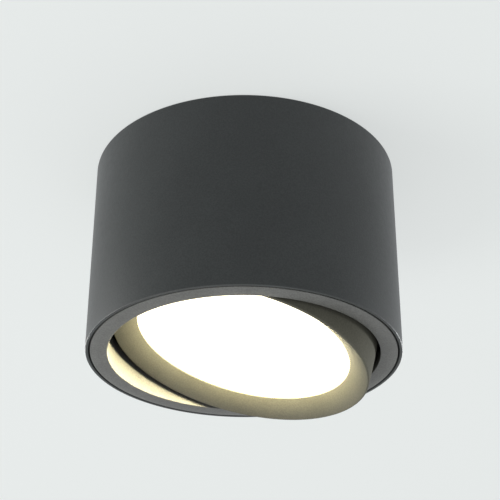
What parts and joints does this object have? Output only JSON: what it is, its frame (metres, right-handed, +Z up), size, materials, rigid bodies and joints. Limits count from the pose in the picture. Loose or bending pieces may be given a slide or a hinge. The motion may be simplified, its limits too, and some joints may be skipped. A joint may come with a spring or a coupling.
{
  "type": "surface mounted ceiling spotlight",
  "caption": "Cylindrical ceiling spotlight: a dark drum with a trim ring that swivels in its mouth and a tilting light head behind an opal diffuser.",
  "frame": {"origin": "centre of the ceiling face, midway between the two ceiling screw slots", "axes": "+Z up into the ceiling, the lamp hangs along -Z; the ceiling screw slots lie along X; -Y is the side that the picture shows"},
  "size_m": [0.12, 0.12, 0.0908],
  "materials": {
    "body_paint": "fine textured powder coat, dark anthracite",
    "ring_paint": "fine textured powder coat, dark anthracite",
    "head_paint": "fine textured powder coat, dark anthracite",
    "zinc_steel": "bright zinc plate",
    "black_steel": "black oxide",
    "spring_steel": "bright rolled strip",
    "brass": "machined",
    "opal": "opal, satin",
    "white_plastic": "matt white",
    "block_plastic": "moulded, natural white",
    "driver_plastic": "moulded, light grey",
    "board_green": "solder mask",
    "coil_tape": "wound tape",
    "capacitor_sleeve": "shrunk sleeve",
    "board_white": "white solder mask on aluminium",
    "led_phosphor": "phosphor",
    "bare_aluminium": "cast, blasted",
    "nylon": "natural nylon",
    "bush_rubber": "moulded"
  },
  "bodies": {
    "fixture": {"housing": "body_paint", "ceiling_plate": "zinc_steel", "side_lug_1": "zinc_steel", "side_lug_2": "zinc_steel", "side_screws": "black_steel", "cable_bush": "bush_rubber", "terminal_block": "block_plastic", "terminal_inserts": "brass", "clamp_screws": "zinc_steel", "block_screws": "zinc_steel", "earth_screw": "brass", "earth_washer": "brass", "driver_case": "driver_plastic", "driver_cover": "driver_plastic", "driver_board": "board_green", "driver_transformer": "coil_tape", "driver_capacitors": "capacitor_sleeve", "driver_screws": "zinc_steel"},
    "swivel_ring": {"trim_ring": "ring_paint", "friction_ring": "nylon", "retaining_clip_1": "spring_steel", "retaining_clip_2": "spring_steel", "retaining_clip_3": "spring_steel", "clip_screws": "zinc_steel"},
    "lamp_head": {"head_body": "head_paint", "diffuser": "opal", "light_chamber": "white_plastic", "led_board": "board_white", "leds": "led_phosphor", "board_screws": "zinc_steel", "heat_sink": "bare_aluminium", "sink_screws": "zinc_steel", "lead_bush": "bush_rubber", "pivot_screw_1": "zinc_steel", "pivot_washer_1": "nylon", "pivot_screw_2": "zinc_steel", "pivot_washer_2": "nylon"}
  },
  "joints": [
    {"name": "ring_swivel", "type": "hinge", "parent": "fixture", "child": "swivel_ring", "pos_m": [0, 0, -0.079], "axis": [0, 0, 1], "range_deg": [-175, 175]},
    {"name": "head_tilt", "type": "hinge", "parent": "swivel_ring", "child": "lamp_head", "pos_m": [0, 0, -0.071], "axis": [0.2351, -0.972, 0], "range_deg": [-4, 32]}
  ]
}
